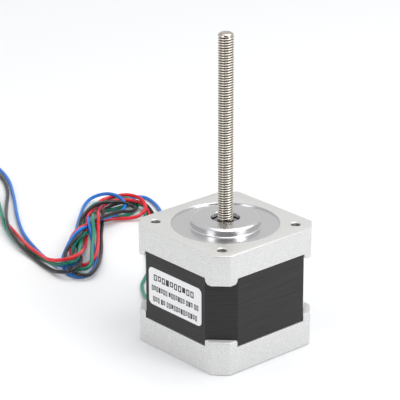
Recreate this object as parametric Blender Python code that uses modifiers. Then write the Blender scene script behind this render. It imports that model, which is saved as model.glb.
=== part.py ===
"""Hybrid stepping motor of 42 mm frame size whose rotor shaft carries on as a lead screw.

The motor stands on its rear cap, with the screw pointing up. The origin is the middle of the
rear face, +Z runs along the screw, the rating label is on the -Y side and the four leads come
out of the -X side. Everything is in metres.
"""

import math

import bmesh
import bpy
from mathutils import Matrix, Vector

MM = 0.001
FIT_GAP = 0.3 * MM
SEAT_GAP = 0.1 * MM
SEAT_STEP = 0.02 * MM

# Outside of the motor
FRAME_HALF = 21.15 * MM
CAP_CHAMFER = 4.1 * MM
BODY_LENGTH = 40.0 * MM
REAR_CAP_TOP = 9.0 * MM
FRONT_CAP_BOTTOM = 31.9 * MM
REAR_TAB_HEIGHT = 2.2 * MM
FRONT_TAB_HEIGHT = 1.9 * MM
TAB_START = 14.1 * MM
FRONT_TAB_ROUND = 1.7 * MM
REAR_TAB_ROUND = 0.5 * MM
CAP_EDGE = 0.3 * MM
REAR_EDGE = 0.6 * MM

# Front face: pilot boss in a shallow turned ring, four M3 holes
PILOT_RADIUS = 11.0 * MM
PILOT_HEIGHT = 2.0 * MM
PILOT_FLAT_RADIUS = 9.7 * MM
PILOT_EDGE_DROP = 0.4 * MM
RING_RADIUS = 17.0 * MM
RING_DEPTH = 0.5 * MM
SHAFT_HOLE_RADIUS = 4.5 * MM
HOLE_SPACING_HALF = 15.5 * MM
MOUNT_HOLE_RADIUS = 1.5 * MM
MOUNT_HOLE_DEPTH = 4.5 * MM
SCREW_HOLE_RADIUS = 1.8 * MM

# Laminated stack
STACK_HALF = 21.0 * MM
STACK_FACE_HALF = 13.9 * MM
STACK_BOTTOM = REAR_CAP_TOP + FIT_GAP
STACK_TOP = FRONT_CAP_BOTTOM - FIT_GAP
POLES = 8
ROTOR_TEETH = 50
TEETH_PER_POLE = 6
STATOR_BORE = 13.2 * MM
STATOR_TOOTH_DEPTH = 0.7 * MM
SHOE_BACK = 15.0 * MM
SLOT_BOTTOM = 18.5 * MM
POLE_HALF_WIDTH = 2.4 * MM

# Windings and their insulators
COIL_INNER_RADIUS = 15.5 * MM
COIL_DEPTH = 2.1 * MM
COIL_WALL = 2.1 * MM
COIL_CORNER = 1.6 * MM
INSULATOR_THICKNESS = 0.8 * MM
INSULATOR_INNER = 13.5 * MM
INSULATOR_RING = 15.2 * MM
INSULATOR_OUTER = 18.2 * MM
CAVITY_RADIUS = 18.6 * MM

# Rotor on its shaft
SHAFT_RADIUS = 2.5 * MM
SHAFT_BOTTOM = 2.1 * MM
BORE_RADIUS = SHAFT_RADIUS + FIT_GAP
ROTOR_RADIUS = 12.9 * MM
ROTOR_TOOTH_DEPTH = 0.6 * MM
MAGNET_THICKNESS = 1.8 * MM
MAGNET_RADIUS = 10.5 * MM
ROTOR_LENGTH = 21.6 * MM
SPACER_RADIUS = 3.9 * MM

# Lead screw
SCREW_MAJOR_RADIUS = 2.45 * MM
THREAD_START = 40.9 * MM
SCREW_TOP = 102.0 * MM
TIP_LENGTH = 1.3 * MM
TIP_RADIUS = 1.7 * MM

# Ball bearings, 5 x 16 x 5
BEARING_OUTER = 8.0 * MM
BEARING_WIDTH = 5.0 * MM
OUTER_RACE = 6.6 * MM
INNER_RACE = 4.2 * MM
BALL_RADIUS = 0.9 * MM
BALLS = 7
SHIELD_THICKNESS = 0.3 * MM
SHIELD_INSET = 0.2 * MM
REAR_BEARING_BOTTOM = 3.0 * MM
FRONT_BEARING_BOTTOM = 35.4 * MM
HOUSING_WALL_RADIUS = 10.2 * MM
CAP_FLOOR = 2.5 * MM

# Housing screws, M3 with pan heads in the rear face
SHANK_RADIUS = 1.5 * MM
HEAD_RADIUS = 2.6 * MM
HEAD_BOTTOM = 0.5 * MM
HEAD_TOP = 2.9 * MM
COUNTERBORE_DEPTH = 3.2 * MM
SHANK_TOP = 35.0 * MM

# Rating label on the -Y side of the stack
LABEL_WIDTH = 24.8 * MM
LABEL_HEIGHT = 12.6 * MM
LABEL_CORNER = 1.6 * MM
LABEL_THICKNESS = 0.1 * MM
LABEL_CENTRE_Z = 21.1 * MM
LABEL_OFFSET = 0.03 * MM

# Lead outlet in the -X side of the rear cap
OUTLET_HALF_WIDTH = 6.0 * MM
OUTLET_BOTTOM = 5.2 * MM
GROMMET_DEPTH = 2.6 * MM
LEAD_PITCH = 2.4 * MM
LEAD_HEIGHT = 7.1 * MM
LEAD_HOLE_RADIUS = 0.85 * MM

# Routes of the four leads in millimetres, one list for each stretch: from the outlet to the
# folded bundle, and from the bundle to the bare end. All lie on the surface the motor stands on.
TO_BUNDLE = {
    "blue": [
        (-21.4, 3.6, 7.1), (-24.5, 3.9, 6.9), (-30, 6.5, 4.2), (-35, 10, 2), (-41.5, 15, 0.8),
        (-50, 21.5, 0.7), (-59, 28, 0.7), (-70, 36.5, 0.7), (-81, 44.5, 0.7), (-91, 51.5, 0.7),
    ],
    "black": [
        (-21.4, 1.2, 7.1), (-24.5, 1.5, 6.9), (-30, 3.8, 4.2), (-35.5, 7, 2), (-42.5, 12, 0.8),
        (-51, 18.5, 0.7), (-60, 25.5, 0.7), (-70, 33, 0.7), (-80, 40.5, 0.7), (-91, 48, 0.7),
    ],
    "red": [
        (-21.4, -1.2, 7.1), (-24.5, -1, 6.9), (-30, 0.8, 4.2), (-36, 4.2, 2), (-43.5, 9.5, 0.8),
        (-52, 16, 0.7), (-61, 23, 0.7), (-71, 30.5, 0.7), (-81, 38, 0.7), (-91, 45.5, 0.7),
    ],
    "green": [
        (-21.4, -3.6, 7.1), (-24.5, -3.8, 6.9), (-30, -3.6, 4.6), (-36, -1.8, 2.2), (-43, 2, 0.9),
        (-49, 6.5, 0.7), (-51.5, 9.5, 0.7), (-55, 14, 0.7), (-61, 19.5, 0.7), (-71, 27, 0.7),
        (-81, 34.5, 0.7), (-90.5, 42, 0.7),
    ],
}
FROM_BUNDLE = {
    "blue": [
        (-89.6, -4, 0.7), (-98.1, -1.6, 0.7), (-105.6, 1, 0.7), (-113, 4.1, 0.7),
        (-121.6, 8.8, 0.7), (-130, 14, 0.7), (-139.5, 20.2, 0.7), (-148.3, 25.7, 0.7),
        (-156.4, 30.4, 0.7), (-164.1, 33.8, 0.7), (-171.5, 36.2, 0.7), (-178, 37.8, 0.7),
        (-183.5, 38.9, 0.7),
    ],
    "black": [
        (-89.6, -7.7, 0.8), (-92.1, -7.2, 0.9), (-99.8, -5.8, 1.5), (-106.9, -3.7, 2.1),
        (-114.3, -0.8, 2.6), (-122.2, 3.8, 2.8), (-131, 10.1, 1.9), (-139.7, 16.8, 1),
        (-147.4, 22.8, 0.7), (-153.9, 27, 0.7), (-159.6, 29.9, 0.7), (-166, 32.2, 0.7),
        (-174, 34.2, 0.7), (-182, 35.6, 0.7),
    ],
    "red": [
        (-90.3, -5.9, 2.3), (-93.6, -5.5, 2.4), (-98.5, -4.3, 2.2), (-103.3, -2.6, 1.7),
        (-108.8, -0.4, 1.2), (-114.3, 1.7, 0.8), (-122.5, 4.4, 0.7), (-128.5, 6.5, 0.7),
        (-134, 8.9, 0.7), (-142, 12.3, 0.7), (-150, 16, 0.7), (-159, 20, 0.7), (-168, 23.3, 0.7),
        (-177, 25.8, 0.7), (-184, 27.2, 0.7),
    ],
    "green": [
        (-90.5, -5.4, 0.9), (-92.5, -5.1, 0.8), (-98.9, -4.3, 0.7), (-105.5, -3.2, 0.7),
        (-112.9, -1, 0.7), (-120.4, 2, 1), (-127.6, 5.7, 1.9), (-134.4, 9.8, 2.2),
        (-140.5, 13.6, 1.6), (-147, 17.5, 0.8), (-153, 20.9, 0.7), (-160.5, 24.6, 0.7),
        (-169, 28, 0.7), (-177, 30.4, 0.7), (-184, 32, 0.7),
    ],
}

# Outline of the bundle, where the leads are folded back on themselves, in millimetres
BUNDLE_OUTLINE = [
    (-63, -5), (-66, -10.5), (-76, -11.2), (-88.9, -10.6), (-88.9, -2.2), (-94.5, 8),
    (-103, 17), (-114, 29), (-121.5, 40), (-121.5, 45), (-116.5, 49), (-115.5, 57),
    (-111, 60.5), (-104, 60), (-96, 57.5), (-91.8, 55), (-91.8, 40), (-90.5, 31),
    (-86, 21), (-76, 11.5), (-68, 4.5),
]
BUNDLE_BOTTOM = 0.1 * MM
BUNDLE_TOP = 6.8 * MM
LEAD_RADIUS = 0.65 * MM
LEAD_POINT_STEP = 3.9 * MM
BARE_RADIUS = 0.35 * MM
BARE_LENGTH = 6.0 * MM

ROUND_STEPS = 48
RING_STEPS = 32
BEARING_STEPS = 24
SMALL_STEPS = 12


def empty_scene():
    for old in list(bpy.data.objects):
        bpy.data.objects.remove(old, do_unlink=True)


def new_collection(name, hidden=False):
    made = bpy.data.collections.new(name)
    made.hide_render = hidden
    bpy.context.scene.collection.children.link(made)
    return made


empty_scene()
PARTS = new_collection("stepper_motor")
CUTTERS = new_collection("cutters", hidden=True)


def material(name, colour, roughness, metallic=0.0):
    made = bpy.data.materials.new(name)
    made.use_nodes = True
    shader = made.node_tree.nodes["Principled BSDF"]
    shader.inputs["Base Color"].default_value = (*colour, 1.0)
    shader.inputs["Roughness"].default_value = roughness
    shader.inputs["Metallic"].default_value = metallic
    return made


def place(name, mesh, finish=None, location=(0.0, 0.0, 0.0)):
    """A new object, among the parts if it has a finish and among the cutters if not."""
    made = bpy.data.objects.new(name, mesh)
    made.location = location
    if finish is None:
        CUTTERS.objects.link(made)
        made.hide_render = True
        made.display_type = "WIRE"
    else:
        PARTS.objects.link(made)
        mesh.materials.append(finish)
    return made


def mesh_of(maker):
    """The evaluated mesh of a helper object, which is then removed."""
    bpy.context.view_layer.update()
    graph = bpy.context.evaluated_depsgraph_get()
    mesh = bpy.data.meshes.new_from_object(maker.evaluated_get(graph))
    data = maker.data
    bpy.data.objects.remove(maker, do_unlink=True)
    if isinstance(data, bpy.types.Curve):
        bpy.data.curves.remove(data)
    shape = bmesh.new()
    shape.from_mesh(mesh)
    bmesh.ops.remove_doubles(shape, verts=shape.verts, dist=1e-7)
    bmesh.ops.recalc_face_normals(shape, faces=shape.faces)
    shape.to_mesh(mesh)
    shape.free()
    mesh.materials.clear()
    return mesh


def smooth_by_angle(mesh, degrees=35.0):
    mesh.shade_smooth()
    mesh.set_sharp_from_angle(angle=math.radians(degrees))


def plate_mesh(outlines, thickness):
    """A flat plate, middle at z = 0, from closed outlines: the first outside, the rest holes."""
    curve = bpy.data.curves.new("outline", "CURVE")
    curve.dimensions = "2D"
    curve.fill_mode = "BOTH"
    curve.extrude = thickness / 2
    for outline in outlines:
        spline = curve.splines.new("POLY")
        spline.points.add(len(outline) - 1)
        for point, (x, y) in zip(spline.points, outline):
            point.co = (x, y, 0.0, 1.0)
        spline.use_cyclic_u = True
    maker = bpy.data.objects.new("outline", curve)
    CUTTERS.objects.link(maker)
    return mesh_of(maker)


def plate(name, outlines, bottom, top, finish=None):
    mesh = plate_mesh(outlines, top - bottom)
    return place(name, mesh, finish, (0.0, 0.0, (bottom + top) / 2))


def turned(name, profile, finish=None, steps=ROUND_STEPS, location=(0.0, 0.0, 0.0), closed=False):
    """A body turned about Z. The profile's (radius, z) points run down its outer side."""
    mesh = bpy.data.meshes.new(name)
    shape = bmesh.new()
    corners = [shape.verts.new((radius, 0.0, z)) for radius, z in profile]
    for first, second in zip(corners, corners[1:]):
        shape.edges.new((first, second))
    if closed:
        shape.edges.new((corners[-1], corners[0]))
    shape.to_mesh(mesh)
    shape.free()
    made = place(name, mesh, finish, location)
    screw = made.modifiers.new("turn", "SCREW")
    screw.steps = steps
    screw.render_steps = steps
    screw.use_merge_vertices = True
    screw.merge_threshold = 1e-6
    screw.use_smooth_shade = False
    return made


def ring(name, inner, outer, bottom, top, finish, steps=ROUND_STEPS):
    profile = [(inner, top), (outer, top), (outer, bottom), (inner, bottom)]
    made = turned(name, profile, finish, steps, closed=True)
    make_smooth(made)
    return made


def make_smooth(part, degrees=35.0):
    """Turns a part's modifiers into its mesh, and shades its round sides smooth."""
    bpy.context.view_layer.update()
    graph = bpy.context.evaluated_depsgraph_get()
    solid = bpy.data.meshes.new_from_object(part.evaluated_get(graph))
    part.modifiers.clear()
    part.data = solid
    smooth_by_angle(solid, degrees)


def boolean(target, other, operation="DIFFERENCE", solver="EXACT"):
    modifier = target.modifiers.new(operation.lower(), "BOOLEAN")
    modifier.operation = operation
    modifier.object = other
    modifier.solver = solver


def box(name, low, high, finish=None):
    mesh = bpy.data.meshes.new(name)
    shape = bmesh.new()
    size = Vector(high) - Vector(low)
    scale = Matrix.Diagonal((*size, 1.0))
    bmesh.ops.create_cube(shape, size=1.0, matrix=scale)
    shape.to_mesh(mesh)
    shape.free()
    return place(name, mesh, finish, (Vector(high) + Vector(low)) / 2)


def circle(radius, steps, centre=(0.0, 0.0)):
    turns = [2 * math.pi * step / steps for step in range(steps)]
    return [(centre[0] + radius * math.cos(t), centre[1] + radius * math.sin(t)) for t in turns]


def polar(radius, angle):
    return (radius * math.cos(angle), radius * math.sin(angle))


def rounded_corner(centre, radius, start, steps):
    """A quarter turn of an outline, from the angle start onwards."""
    angles = [start + math.pi / 2 * step / steps for step in range(steps + 1)]
    return [(centre[0] + radius * math.cos(a), centre[1] + radius * math.sin(a)) for a in angles]


def rounded_rectangle(half_width, half_height, radius, steps):
    outline = []
    for quarter, (side_x, side_y) in enumerate([(1, 1), (-1, 1), (-1, -1), (1, -1)]):
        centre = (side_x * (half_width - radius), side_y * (half_height - radius))
        outline += rounded_corner(centre, radius, quarter * math.pi / 2, steps)
    return outline


def chamfered_square(half, face_half):
    """A square of half width half whose corners are cut so that its sides end at face_half."""
    outline = []
    for turn in range(4):
        angle = turn * math.pi / 2
        for x, y in ((half, -face_half), (half, face_half)):
            outline.append(
                (
                    x * math.cos(angle) - y * math.sin(angle),
                    x * math.sin(angle) + y * math.cos(angle),
                )
            )
    return outline


def corners():
    """The four hole positions of the 31 mm square."""
    for side_x, side_y in ((1, 1), (-1, 1), (-1, -1), (1, -1)):
        yield (side_x * HOLE_SPACING_HALF, side_y * HOLE_SPACING_HALF)


# Finishes
CAST = material("cast_aluminium", (0.72, 0.72, 0.73), 0.45, 0.9)
BLACK = material("black_lamination", (0.035, 0.035, 0.037), 0.6)
WHITE = material("white_label", (0.9, 0.9, 0.9), 0.5)
STEEL = material("bright_steel", (0.62, 0.59, 0.54), 0.25, 1.0)
BEARING_STEEL = material("bearing_steel", (0.6, 0.6, 0.62), 0.2, 1.0)
ROTOR_STEEL = material("rotor_steel", (0.35, 0.35, 0.36), 0.4, 1.0)
MAGNET = material("magnet", (0.2, 0.2, 0.21), 0.5, 0.6)
COPPER = material("enamelled_copper", (0.6, 0.26, 0.12), 0.3, 0.9)
INSULATION = material("white_insulation", (0.8, 0.79, 0.74), 0.5)
BOARD = material("board_green", (0.05, 0.25, 0.12), 0.5)
GROMMET = material("grommet_black", (0.04, 0.04, 0.04), 0.7)
SPRING = material("spring_steel", (0.5, 0.5, 0.52), 0.3, 1.0)
SCREW_STEEL = material("screw_steel", (0.55, 0.55, 0.56), 0.35, 1.0)
TINNED = material("tinned_wire", (0.7, 0.7, 0.7), 0.3, 1.0)
LEAD_COLOURS = {
    "blue": material("lead_blue", (0.02, 0.14, 0.5), 0.4),
    "black": material("lead_black", (0.02, 0.02, 0.02), 0.4),
    "red": material("lead_red", (0.6, 0.02, 0.03), 0.4),
    "green": material("lead_green", (0.0, 0.25, 0.17), 0.4),
}


def cap_body(name, bottom, top, edge):
    mesh = plate_mesh([chamfered_square(FRAME_HALF, FRAME_HALF - CAP_CHAMFER)], top - bottom)
    cap = place(name, mesh, CAST, (0.0, 0.0, (bottom + top) / 2))
    bevel = cap.modifiers.new("edges", "BEVEL")
    bevel.width = edge
    bevel.segments = 2
    bevel.limit_method = "ANGLE"
    bevel.angle_limit = math.radians(30)
    return cap


def side_window(name, edge_z, tab_z, radius):
    """The opening between two corner tabs, from the tabs' ends tab_z to the cap's edge edge_z."""
    outward = math.copysign(1.0, tab_z - edge_z)
    beyond = tab_z + outward * 2 * MM
    quarter = [math.pi / 2 * step / 4 for step in range(5)]
    side = [
        (TAB_START + radius - radius * math.cos(a), tab_z - outward * radius * (1 - math.sin(a)))
        for a in quarter
    ]
    half = [(TAB_START, edge_z)] + side + [(TAB_START + radius, beyond)]
    outline = half + [(-x, z) for x, z in reversed(half)]
    cutter_mesh = plate_mesh([outline], 4 * FRAME_HALF)
    cutter_mesh.transform(Matrix.Rotation(math.pi / 2, 4, "X"))
    along_y = place(name + "_y", cutter_mesh)
    turned_mesh = cutter_mesh.copy()
    turned_mesh.transform(Matrix.Rotation(math.pi / 2, 4, "Z"))
    along_x = place(name + "_x", turned_mesh)
    return along_y, along_x


def stack_seat(name, bottom, top):
    beyond = FRAME_HALF + MM
    leg = STACK_HALF - STACK_FACE_HALF
    corner = 2 * STACK_HALF - leg + math.sqrt(2) * SEAT_GAP
    return plate(name, [chamfered_square(beyond, corner - beyond)], bottom, top)


def hole_cutter(name, centre, profile):
    cutter = turned(name, profile, None, SMALL_STEPS, (centre[0], centre[1], 0.0))
    return cutter


def front_end_cap():
    tab_end = FRONT_CAP_BOTTOM - FRONT_TAB_HEIGHT
    below = tab_end - 1 * MM
    face = BODY_LENGTH
    cap = cap_body("front_end_cap", tab_end, face, CAP_EDGE)
    for window in side_window("front_window", FRONT_CAP_BOTTOM - SEAT_STEP, tab_end, FRONT_TAB_ROUND):
        boolean(cap, window, solver="MANIFOLD")
    boolean(cap, stack_seat("front_seat", below, FRONT_CAP_BOTTOM), solver="MANIFOLD")
    recess = turned(
        "ring_recess",
        [(0, face + MM), (RING_RADIUS, face + MM), (RING_RADIUS, face - RING_DEPTH), (0, face - RING_DEPTH)],
    )
    boolean(cap, recess)
    boss_top = face + PILOT_HEIGHT
    boss = turned(
        "pilot_boss",
        [
            (0, boss_top),
            (PILOT_FLAT_RADIUS, boss_top),
            (PILOT_RADIUS, boss_top - PILOT_EDGE_DROP),
            (PILOT_RADIUS, face - 1.5 * MM),
            (0, face - 1.5 * MM),
        ],
    )
    boolean(cap, boss, "UNION")
    roof = face - CAP_FLOOR
    seat = FRONT_BEARING_BOTTOM - 0.2 * MM
    pocket_top = FRONT_BEARING_BOTTOM + BEARING_WIDTH + FIT_GAP
    pocket = BEARING_OUTER + FIT_GAP
    inside = turned(
        "front_inside",
        [
            (0, boss_top + MM),
            (SHAFT_HOLE_RADIUS, boss_top + MM),
            (SHAFT_HOLE_RADIUS, pocket_top),
            (pocket, pocket_top),
            (pocket, seat),
            (HOUSING_WALL_RADIUS, seat),
            (HOUSING_WALL_RADIUS, roof),
            (CAVITY_RADIUS, roof),
            (CAVITY_RADIUS, below),
            (0, below),
        ],
    )
    boolean(cap, inside)
    for number, centre in enumerate(corners(), 1):
        deep = face - MOUNT_HOLE_DEPTH
        countersink = 0.3 * MM
        profile = [
            (0, face + MM),
            (MOUNT_HOLE_RADIUS + countersink + MM, face + MM),
            (MOUNT_HOLE_RADIUS, face - countersink),
            (MOUNT_HOLE_RADIUS, deep),
            (SCREW_HOLE_RADIUS, deep),
            (SCREW_HOLE_RADIUS, below),
            (0, below),
        ]
        boolean(cap, hole_cutter(f"front_hole_{number}", centre, profile))
    return cap


def rear_end_cap():
    tab_end = REAR_CAP_TOP + REAR_TAB_HEIGHT
    above = tab_end + 1 * MM
    cap = cap_body("rear_end_cap", 0.0, tab_end, REAR_EDGE)
    for window in side_window("rear_window", REAR_CAP_TOP + SEAT_STEP, tab_end, REAR_TAB_ROUND):
        boolean(cap, window, solver="MANIFOLD")
    boolean(cap, stack_seat("rear_seat", REAR_CAP_TOP, above), solver="MANIFOLD")
    pocket = BEARING_OUTER + FIT_GAP
    pocket_floor = REAR_BEARING_BOTTOM - 1.3 * MM
    wall_top = REAR_BEARING_BOTTOM + BEARING_WIDTH
    inside = turned(
        "rear_inside",
        [
            (0, above),
            (CAVITY_RADIUS, above),
            (CAVITY_RADIUS, CAP_FLOOR),
            (HOUSING_WALL_RADIUS, CAP_FLOOR),
            (HOUSING_WALL_RADIUS, wall_top),
            (pocket, wall_top),
            (pocket, pocket_floor),
            (0, pocket_floor),
        ],
    )
    boolean(cap, inside)
    for number, centre in enumerate(corners(), 1):
        bore = HEAD_RADIUS + FIT_GAP
        profile = [
            (0, above),
            (SCREW_HOLE_RADIUS, above),
            (SCREW_HOLE_RADIUS, COUNTERBORE_DEPTH),
            (bore, COUNTERBORE_DEPTH),
            (bore, -MM),
            (0, -MM),
        ]
        boolean(cap, hole_cutter(f"rear_hole_{number}", centre, profile))
    outlet = box(
        "lead_outlet",
        (-FRAME_HALF - MM, -OUTLET_HALF_WIDTH, OUTLET_BOTTOM),
        (-CAVITY_RADIUS + 2 * MM, OUTLET_HALF_WIDTH, above),
    )
    boolean(cap, outlet)
    return cap


def pole_outline(middle):
    """The inner edge of the lamination at one pole, from slot to slot, anticlockwise."""
    pitch = 2 * math.pi / ROTOR_TEETH
    half_tooth = pitch / 4
    shoe_half = (TEETH_PER_POLE - 1) * pitch / 2 + half_tooth
    root = STATOR_BORE + STATOR_TOOTH_DEPTH
    slot_middle = middle - math.pi / POLES
    outline = [polar(SLOT_BOTTOM, slot_middle), polar(SLOT_BOTTOM, slot_middle + math.radians(8))]
    for side in (-1, 1):
        shoulder = side * math.asin(POLE_HALF_WIDTH / SHOE_BACK)
        foot = side * math.asin(POLE_HALF_WIDTH / SLOT_BOTTOM)
        flank = [
            polar(SLOT_BOTTOM, middle + foot),
            polar(SHOE_BACK, middle + shoulder),
            polar(SHOE_BACK - 0.4 * MM, middle + side * shoe_half),
        ]
        if side < 0:
            outline += flank
            for tooth in range(TEETH_PER_POLE):
                centre = middle + (tooth - (TEETH_PER_POLE - 1) / 2) * pitch
                if tooth:
                    outline.append(polar(root, centre - half_tooth))
                outline.append(polar(STATOR_BORE, centre - half_tooth))
                outline.append(polar(STATOR_BORE, centre + half_tooth))
                if tooth < TEETH_PER_POLE - 1:
                    outline.append(polar(root, centre + half_tooth))
        else:
            outline += reversed(flank)
    outline.append(polar(SLOT_BOTTOM, middle + math.pi / POLES - math.radians(8)))
    return outline


def stator_core():
    inner = []
    for pole in range(POLES):
        inner += pole_outline(2 * math.pi * pole / POLES)
    holes = [circle(SCREW_HOLE_RADIUS, SMALL_STEPS, centre) for centre in corners()]
    outer = chamfered_square(STACK_HALF, STACK_FACE_HALF)
    return plate("stator_core", [outer, inner] + holes, STACK_BOTTOM, STACK_TOP, BLACK)


def insulator(name, bottom):
    """A ring over the pole shoes with one finger out along each pole."""
    outline = []
    for pole in range(POLES):
        middle = 2 * math.pi * pole / POLES
        root = math.asin(POLE_HALF_WIDTH / INSULATOR_RING)
        tip = math.asin(POLE_HALF_WIDTH / INSULATOR_OUTER)
        outline.append(polar(INSULATOR_RING, middle - root))
        outline.append(polar(INSULATOR_OUTER, middle - tip))
        outline.append(polar(INSULATOR_OUTER, middle + tip))
        outline.append(polar(INSULATOR_RING, middle + root))
        gap = 2 * math.pi / POLES - 2 * root
        for step in (1, 2, 3):
            outline.append(polar(INSULATOR_RING, middle + root + gap * step / 4))
    bore = circle(INSULATOR_INNER, RING_STEPS)
    return plate(name, [outline, bore], bottom, bottom + INSULATOR_THICKNESS, INSULATION)


def coils():
    """One winding round each pole: a flat loop in the plane across the pole."""
    inner_top = STACK_TOP + 2 * FIT_GAP + INSULATOR_THICKNESS
    inner_bottom = STACK_BOTTOM - 2 * FIT_GAP - INSULATOR_THICKNESS
    half_height = (inner_top - inner_bottom) / 2
    half_width = POLE_HALF_WIDTH + FIT_GAP
    outer = rounded_rectangle(half_width + COIL_WALL, half_height + COIL_WALL, COIL_CORNER, 2)
    inner = rounded_rectangle(half_width, half_height, 0.4 * MM, 1)
    mesh = plate_mesh([outer, inner], COIL_DEPTH)
    mesh.transform(Matrix.Rotation(math.pi / 2, 4, "X"))
    mesh.transform(Matrix.Rotation(math.pi / 2, 4, "Z"))
    radius = COIL_INNER_RADIUS + COIL_DEPTH / 2
    middle = (inner_top + inner_bottom) / 2
    mesh.transform(Matrix.Translation((radius, 0.0, middle)))
    mesh.materials.append(COPPER)
    for pole in range(POLES):
        made = bpy.data.objects.new(f"coil_{pole + 1}", mesh)
        made.rotation_euler = (0.0, 0.0, 2 * math.pi * pole / POLES)
        PARTS.objects.link(made)


def rotor_cup(name, bottom, top, turn):
    pitch = 2 * math.pi / ROTOR_TEETH
    root = ROTOR_RADIUS - ROTOR_TOOTH_DEPTH
    outline = []
    for tooth in range(ROTOR_TEETH):
        middle = tooth * pitch + turn
        outline.append(polar(root, middle - 0.28 * pitch))
        outline.append(polar(ROTOR_RADIUS, middle - 0.22 * pitch))
        outline.append(polar(ROTOR_RADIUS, middle + 0.22 * pitch))
        outline.append(polar(root, middle + 0.28 * pitch))
    return plate(name, [outline, circle(BORE_RADIUS, 24)], bottom, top, ROTOR_STEEL)


def rotor():
    """Two toothed cups half a tooth apart, with the ring magnet between them."""
    middle = (STACK_BOTTOM + STACK_TOP) / 2
    half_magnet = MAGNET_THICKNESS / 2
    half_rotor = ROTOR_LENGTH / 2
    cup_gap = half_magnet + FIT_GAP
    rotor_cup("rotor_cup_front", middle + cup_gap, middle + half_rotor, 0.0)
    rotor_cup("rotor_cup_rear", middle - half_rotor, middle - cup_gap, math.pi / ROTOR_TEETH)
    ring("rotor_magnet", BORE_RADIUS, MAGNET_RADIUS, middle - half_magnet, middle + half_magnet, MAGNET, RING_STEPS)
    low = REAR_BEARING_BOTTOM + BEARING_WIDTH + FIT_GAP
    high = FRONT_BEARING_BOTTOM - FIT_GAP
    ring("rotor_spacer_rear", BORE_RADIUS, SPACER_RADIUS, low, middle - half_rotor - FIT_GAP, STEEL, BEARING_STEPS)
    ring("rotor_spacer_front", BORE_RADIUS, SPACER_RADIUS, middle + half_rotor + FIT_GAP, high, STEEL, BEARING_STEPS)


def lead_screw():
    chamfer = 0.4 * MM
    tip_start = SCREW_TOP - TIP_LENGTH
    profile = [
        (0, SCREW_TOP),
        (TIP_RADIUS, SCREW_TOP),
        (TIP_RADIUS + 0.45 * MM, SCREW_TOP - 0.45 * MM),
        (SCREW_MAJOR_RADIUS, tip_start),
        (SCREW_MAJOR_RADIUS, THREAD_START),
        (SHAFT_RADIUS, THREAD_START - 0.05 * MM),
        (SHAFT_RADIUS, SHAFT_BOTTOM + chamfer),
        (SHAFT_RADIUS - chamfer, SHAFT_BOTTOM),
        (0, SHAFT_BOTTOM),
    ]
    screw = turned("lead_screw", profile, STEEL, RING_STEPS)
    make_smooth(screw)


def ball_cage(name, middle):
    """The balls in their cage, joined into one body."""
    radius = (OUTER_RACE + INNER_RACE) / 2
    half = 0.3 * MM
    thin = 0.45 * MM
    cage = turned(
        name,
        [(radius - thin, half), (radius + thin, half), (radius + thin, -half), (radius - thin, -half)],
        BEARING_STEEL,
        BEARING_STEPS,
        (0.0, 0.0, middle),
        closed=True,
    )
    for ball in range(BALLS):
        x, y = polar(radius, 2 * math.pi * ball / BALLS)
        mesh = bpy.data.meshes.new(f"{name}_ball")
        shape = bmesh.new()
        bmesh.ops.create_uvsphere(shape, u_segments=8, v_segments=6, radius=BALL_RADIUS)
        shape.to_mesh(mesh)
        shape.free()
        boolean(cage, place(f"{name}_ball_{ball + 1}", mesh, None, (x, y, middle)), "UNION")


def bearing(side, bottom):
    top = bottom + BEARING_WIDTH
    ring(f"{side}_bearing_outer_ring", OUTER_RACE, BEARING_OUTER, bottom, top, BEARING_STEEL, RING_STEPS)
    ring(f"{side}_bearing_inner_ring", BORE_RADIUS, INNER_RACE, bottom, top, BEARING_STEEL, BEARING_STEPS)
    ball_cage(f"{side}_bearing_balls", (bottom + top) / 2)
    inner = INNER_RACE + FIT_GAP
    outer = OUTER_RACE - FIT_GAP
    low = bottom + SHIELD_INSET
    high = top - SHIELD_INSET
    ring(f"{side}_bearing_shield_lower", inner, outer, low, low + SHIELD_THICKNESS, BEARING_STEEL, BEARING_STEPS)
    ring(f"{side}_bearing_shield_upper", inner, outer, high - SHIELD_THICKNESS, high, BEARING_STEEL, BEARING_STEPS)


def wave_washer():
    """A thin spring ring with three waves, under the rear bearing."""
    inner = 4.8 * MM
    outer = 7.6 * MM
    swing = 0.15 * MM
    middle = REAR_BEARING_BOTTOM - 0.65 * MM
    steps = 24
    mesh = bpy.data.meshes.new("wave_washer")
    shape = bmesh.new()
    rims = []
    for radius in (inner, outer):
        rim = []
        for step in range(steps):
            angle = 2 * math.pi * step / steps
            height = middle + swing * math.cos(3 * angle)
            rim.append(shape.verts.new((*polar(radius, angle), height)))
        rims.append(rim)
    for step in range(steps):
        after = (step + 1) % steps
        shape.faces.new((rims[0][step], rims[1][step], rims[1][after], rims[0][after]))
    shape.to_mesh(mesh)
    shape.free()
    washer = place("wave_washer", mesh, SPRING)
    solidify = washer.modifiers.new("thickness", "SOLIDIFY")
    solidify.thickness = 0.2 * MM
    solidify.offset = 0.0


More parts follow.
